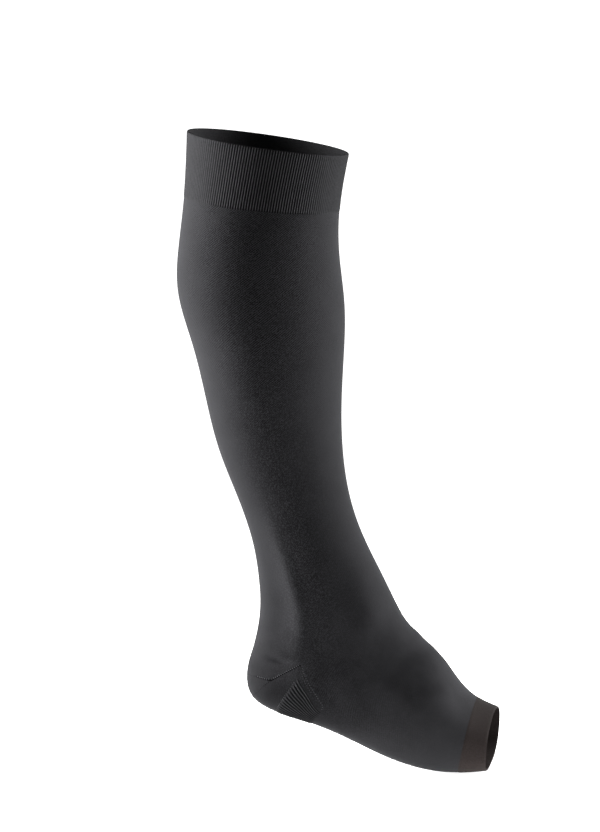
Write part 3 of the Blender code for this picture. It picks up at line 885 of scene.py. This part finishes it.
knitted_size(CALF_GIRTH_MM, toe_at - band_end, tube_area)


# -----------------------------------------------------------------------------------------------------
# Heel
# The heel pocket is turned on the back half of the needles. Where its narrowed and widened courses meet,
# a line of small open stitches runs back from the ankle point on each side and forks before the heel.
# -----------------------------------------------------------------------------------------------------

HEEL_ROWS = 40
HEEL_WIDTH_MM = 130
HEEL_LENGTH_MM = 40

heel_wales = 1 + np.arange(2 * QUARTER_COLUMNS + 1)[None, :] / QUARTER_COLUMNS
down_heel = np.linspace(0, 1, HEEL_ROWS + 1)[:, None]
heel_rows = heel_top(heel_wales) * (1 - down_heel) + ribs_start(heel_wales) * down_heel
heel = knit_wall("heel_pocket", heel_rows, heel_wales, ring=False, step=INNER_STEP)
heel.data.materials.append(plain_knit)
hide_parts("heel")
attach(heel, "root")

# The forked line on each side: how far past the ankle point in millimetres, and how far from the middle
# of the back as a share of the way to the sole's side edge. Its two arms fade out towards the heel. Lines
# of smaller stitches follow the sole's side edge, where the instep half is joined on again, and the heel's
# end, where the ribs begin.
STEM = ((0.0, 0.985), (1.4, 0.897), (2.9, 0.789), (4.5, 0.677), (6.0, 0.572))
CORNER = ((5.2, 0.618), (6.0, 0.572), (5.3, 0.525))
UPPER_ARM = ((6.0, 0.572), (4.6, 0.478), (3.2, 0.361))
UPPER_ARM_END = ((3.2, 0.361), (2.9, 0.227), (3.0, 0.0))
LOWER_ARM = ((6.0, 0.572), (7.4, 0.515), (8.7, 0.460))
LOWER_ARM_END = ((8.7, 0.460), (11.8, 0.331), (14.0, 0.18))
SOLE_SIDE = ((0.0, 1.0), (12.0, 0.995), (24.0, 0.985), (34.0, 0.95), (38.0, 0.86))
SOLE_SIDE_SECOND = ((6.0, 0.965), (14.0, 0.96), (22.0, 0.955))
START_LINE_SHARES = np.linspace(0.86, 0.3, 12)
START_LINE = [(ribs_start(2 + share) - ankle_at, share) for share in START_LINE_SHARES]
OPEN_SPACING = 1.75
CORNER_SPACING = 1.2
SIDE_SPACING = 2.0
START_SPACING = 1.9

# The small stitches: the lines that they follow, their spacing, where the first one lies as a share of it,
# each bead's length along the line, width and height, how far it is sunk in the cloth and moved aside of
# the line, all in millimetres, and its turn from the line in radians.
# The open stitches are near-black beads of painted shade, for the shade that shows through each hole.
OPEN_STITCHES = (
    # piece, lines, spacing, first at, bead, sunk, aside, turn
    ("heel_fork_hole_shade", (STEM, UPPER_ARM), OPEN_SPACING, 0.5, (0.92, 1.45, 0.28), 0.02, 0.2, 0.0),
    ("heel_fork_corner_hole_shade", (CORNER,), CORNER_SPACING, 0.5, (1.4, 1.6, 0.3), 0.02, 0.1, 0.0),
    ("heel_fork_small_hole_shade", (LOWER_ARM,), OPEN_SPACING, 0.5, (0.75, 1.1, 0.26), 0.02, 0.0, 0.0),
    ("heel_fork_faint_hole_shade", (UPPER_ARM_END, LOWER_ARM_END), OPEN_SPACING, 0.5, (0.6, 0.75, 0.24), 0.04, 0.0, 0.0),
)
YARN_STITCHES = (
    # piece, lines, spacing, first at, bead, sunk, aside, turn
    ("heel_fork_loops", (STEM, UPPER_ARM), OPEN_SPACING, 1.0, (0.6, 0.8, 0.42), 0.0, -0.3, 0.3),
    ("sole_side_stitches", (SOLE_SIDE,), SIDE_SPACING, 0.5, (0.85, 0.5, 0.4), 0.05, 0.0, 0.4),
    ("sole_side_second_row", (SOLE_SIDE_SECOND,), SIDE_SPACING, 1.0, (0.7, 0.45, 0.36), 0.07, 0.0, 0.4),
    ("rib_start_stitches", (START_LINE,), START_SPACING, 0.5, (0.6, 0.5, 0.36), 0.06, -0.2, 0.3),
)
LINE_FINENESS = 40
BEAD_SIDES = 8
BEAD_RINGS = 6
INNER_SIDE, OUTER_SIDE = -1, 1


def along_line(line, side, spacing, first_at):
    """Evenly spaced places on a line on one side of the heel, each with the surface's frame there."""
    knots = np.array(line)
    numbers = np.arange(len(knots))
    fine = np.linspace(0, numbers[-1], LINE_FINENESS * numbers[-1] + 1)
    distance = ankle_at + np.interp(fine, numbers, knots[:, 0])
    wale = 2 + side * np.interp(fine, numbers, knots[:, 1])
    points = surface(distance, wale)
    length = np.concatenate([[0], np.cumsum(np.linalg.norm(np.diff(points, axis=0), axis=1))])
    at = np.arange(spacing * first_at, length[-1], spacing)
    distance, wale = np.interp(at, length, distance), np.interp(at, length, wale)
    normals = surface_normal(distance, wale)
    points = surface(distance, wale) + normals * relief(distance, wale)[:, None]
    ways = np.gradient(points, axis=0)
    ways /= np.linalg.norm(ways, axis=1, keepdims=True)
    return points, normals, ways


def small_bead(length_mm, width_mm, height_mm):
    """One small bead of yarn, a few dozen faces, lying along X."""
    bpy.ops.object.select_all(action="DESELECT")
    bpy.ops.mesh.primitive_uv_sphere_add(segments=BEAD_SIDES, ring_count=BEAD_RINGS, radius=MM / 2)
    bead = bpy.context.object
    bead.scale = (length_mm, width_mm, height_mm)
    bpy.ops.object.transform_apply(location=False, rotation=False, scale=True)
    return bead


def sew(name, bead, rows, sunk, aside, turn):
    """Copies a bead to every place of the rows, all in one piece, and removes the bead."""
    everything = bmesh.new()
    for points, normals, ways in rows:
        for point, normal, way in zip(points, normals, ways):
            across = np.cross(normal, way)
            spot = (point - normal * sunk + across * aside) * MM
            turned = way * np.cos(turn) + across * np.sin(turn)
            frame_of = Matrix((turned, np.cross(normal, turned), normal)).transposed().to_4x4()
            copy = bead.data.copy()
            copy.transform(Matrix.Translation(Vector(spot)) @ frame_of)
            everything.from_mesh(copy)
            bpy.data.meshes.remove(copy)
    mesh = bpy.data.meshes.new(name)
    everything.to_mesh(mesh)
    everything.free()
    mesh.shade_smooth()
    piece = bpy.data.objects.new(name, mesh)
    bpy.context.scene.collection.objects.link(piece)
    bpy.data.objects.remove(bead)
    return piece


# Painted shade for the open stitches.
OPEN_STITCH_PAINTED_SHADE = (0.0005, 0.0005, 0.0006, 1)
OPEN_ROUGHNESS = 0.95
LOOP_YARN = (0.030, 0.030, 0.032, 1)
LOOP_YARN_LIGHT = (0.090, 0.090, 0.095, 1)
LOOP_ROUGHNESS = 0.8
FIBRE_SCALE = 3000.0
FIBRE_DEPTH_MM = 0.03

open_finish = Finish("open_stitch_painted_shade", sheen=0.0, sheen_roughness=0.5, specular=0.02)
open_finish.feed(open_finish.entries["Base Color"], OPEN_STITCH_PAINTED_SHADE)
open_finish.feed(open_finish.entries["Roughness"], OPEN_ROUGHNESS)
yarn_finish = Finish("heel_fork_yarn", sheen=0.1, sheen_roughness=0.4, specular=0.1)
fibres = yarn_finish.noise(FIBRE_SCALE, FINE_DETAIL)
yarn_colour = yarn_finish.blend(fibres, LOOP_YARN, LOOP_YARN_LIGHT)
yarn_finish.dress(yarn_colour, LOOP_ROUGHNESS, fibres, FIBRE_DEPTH_MM)

for finish, stitches in ((open_finish, OPEN_STITCHES), (yarn_finish, YARN_STITCHES)):
    for name, lines, spacing, first_at, bead_size, sunk, aside, turn in stitches:
        rows = [
            along_line(line, side, spacing, first_at) for line in lines for side in (INNER_SIDE, OUTER_SIDE)
        ]
        stitching = sew(name, small_bead(*bead_size), rows, sunk, aside, turn)
        stitching.data.materials.append(finish.material)
        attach(stitching, "root")
knitted_size(HEEL_WIDTH_MM, HEEL_LENGTH_MM, worn_area(heel_rows, heel_wales))


# -----------------------------------------------------------------------------------------------------
# Ribbed sole
# In front of the heel the sole is knitted in lengthways ribs, which hold it in place under the arch. They
# end short of the sole's side edges, and the outermost ones at each side stand a little higher.
# -----------------------------------------------------------------------------------------------------

# The ribs reach this share of the way from the middle of the sole to its side edges. They are drawn in a
# little towards the front, and are wider in the middle of the sole than at its sides.
SOLE_RIBS = 40
SOLE_MARGIN_RIBS = 2
RIBS_REACH = 0.91
RIBS_DRAWN_IN = 0.08
WIDER_UNDER_FOOT = 0.2
SOLE_RIB_RISE = 0.5
SOLE_ROWS = 26
SOLE_POINTS_PER_RIB = 8
SOLE_CREST_SHADE = 0.42
SOLE_GROOVE_SHADE = 0.93
DRAWN_IN_FROM = 0.35
RIBS_END_SHARE = 0.08
OUTER_RIBS = 3
OUTER_RISE = 0.5
OUTER_LIGHTER = 0.1
SOLE_CREST_FROM = 0.3
SOLE_WIDTH_MM = 110
SOLE_LENGTH_MM = 33

half_ribs = SOLE_RIBS // 2 + SOLE_MARGIN_RIBS
rib_phase = np.linspace(-half_ribs, half_ribs, 2 * half_ribs * SOLE_POINTS_PER_RIB + 1)[None, :]
down_sole = np.linspace(0, 1, SOLE_ROWS + 1)[:, None]
ribs_reach = RIBS_REACH - RIBS_DRAWN_IN * ease(down_sole, DRAWN_IN_FROM, 1)
in_ribs = np.clip(2 * np.abs(rib_phase) / SOLE_RIBS, 0, 1)
in_margin = np.clip((np.abs(rib_phase) - SOLE_RIBS / 2) / SOLE_MARGIN_RIBS, 0, 1)
rib_spread = in_ribs * (1 + WIDER_UNDER_FOOT * (1 - in_ribs))
sole_wales = 2 + np.sign(rib_phase) * (ribs_reach * rib_spread + (1 - ribs_reach) * in_margin)
sole_rows = ribs_start(sole_wales) * (1 - down_sole) + ribs_end(sole_wales) * down_sole
sole_crest = np.sin(np.pi * rib_phase) ** 2
ribbed = (in_ribs < 1) * ease(down_sole, 0, RIBS_END_SHARE) * ease(1 - down_sole, 0, RIBS_END_SHARE)
outer_ribs = ease(np.abs(rib_phase), SOLE_RIBS / 2 - OUTER_RIBS, SOLE_RIBS / 2 - OUTER_RIBS / 2)
# Painted shade between the sole's ribs, less on their crests; the outermost crests, which stand higher, are
# painted lighter, as they catch more light. The inner side takes the same share of painted shade as the
# band's.
crest_lightens = SOLE_GROOVE_SHADE - SOLE_CREST_SHADE + OUTER_LIGHTER * outer_ribs
sole_shade = SOLE_GROOVE_SHADE - crest_lightens * ease(sole_crest, SOLE_CREST_FROM, CREST_FULL)
sole = knit_wall(
    "sole_rib_knit",
    sole_rows,
    sole_wales,
    SOLE_RIB_RISE * sole_crest * ribbed * (1 + OUTER_RISE * outer_ribs),
    PULLED_SHADE + (sole_shade - PULLED_SHADE) * ribbed,
    painted_shade_inside=INSIDE_SHADE,
    ring=False,
    step=SOLE_POINTS_PER_RIB,
)
sole.data.materials.append(rib_finish("sole_rib_charcoal"))
sole.data.materials.append(plain_knit)
plain_cells = np.tile(in_margin[0, :-1] + in_margin[0, 1:] > 0, SOLE_ROWS)
finish_of = np.zeros(len(sole.data.polygons), dtype=np.int32)
finish_of[: plain_cells.size] = plain_cells
sole.data.polygons.foreach_set("material_index", finish_of)
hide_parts("sole_ribs")
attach(sole, "root")
knitted_size(SOLE_WIDTH_MM, SOLE_LENGTH_MM, worn_area(sole_rows, sole_wales))


# -----------------------------------------------------------------------------------------------------
# Toe band
# The foot ends open, in a flat band knitted closer and in a browner yarn, which lies smooth behind the
# toes and doesn't roll. Its top, over the toes, is painted darker as shade. Its free edge is a thin,
# clean welt.
# -----------------------------------------------------------------------------------------------------

TOE_ROWS = 20
TOE_INNER_STEP = 2
TOE_PROUD_MM = 0.18
TOE_WELT_DROP_MM = 0.3
TOE_EDGE_SHARE = 0.06
FOREFOOT_GIRTH_MM = 237
TOE_YARN = (0.0195, 0.0158, 0.0149, 1)
TOE_YARN_LIGHT = (0.0320, 0.0260, 0.0249, 1)
# Painted shade for the band's top, over the toes.
TOE_PAINTED_SHADE = (0.0090, 0.0072, 0.0068, 1)
TOE_LIGHT = 0.15
TOE_LOOP_LIGHT = 0.15
TOE_CHANCE_LIGHT = 0.5
TOE_SHADE_FROM = 0.25
TOE_SHADE_DARKENS = 0.85
TOE_ROUGHNESS = 0.72
TOE_LOOP_DEPTH_MM = 0.015

toe_rows = np.linspace(toe_at, station("toe edge"), TOE_ROWS + 1)[:, None]
down_toe = np.linspace(0, 1, TOE_ROWS + 1)[:, None]
toe_lift = TOE_PROUD_MM * ease(down_toe, 0, TOE_EDGE_SHARE)
toe_lift = toe_lift - TOE_WELT_DROP_MM * ease(down_toe, 1 - TOE_EDGE_SHARE, 1)
toe = knit_wall("toe_band_knit", toe_rows, wales_round, toe_lift, step=TOE_INNER_STEP)

toe_finish = Finish("toe_band_brown_black", sheen=0.0, sheen_roughness=0.5, specular=0.03)
wale, course = toe_finish.stitches()
toe_loops = toe_finish.loops(wale, course)
toe_light = toe_finish.chance(wale, course) * TOE_CHANCE_LIGHT + toe_loops * TOE_LOOP_LIGHT + TOE_LIGHT
# Painted shade: the band's top, over the toes, is darker.
over_toes = (wale * (TURN / NEEDLES)).cosine().between(TOE_SHADE_FROM, 1.0)
toe_colour = toe_finish.blend(toe_light, TOE_YARN, TOE_YARN_LIGHT)
toe_colour = toe_finish.blend(over_toes * TOE_SHADE_DARKENS, toe_colour, TOE_PAINTED_SHADE)
toe_finish.dress(toe_colour, TOE_ROUGHNESS, toe_loops, TOE_LOOP_DEPTH_MM)
toe.data.materials.append(toe_finish.material)
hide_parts("toe_band")
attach(toe, "root")
toe_area = worn_area(toe_rows, wales_round)
knitted_size(FOREFOOT_GIRTH_MM, station("toe edge") - toe_at, toe_area)
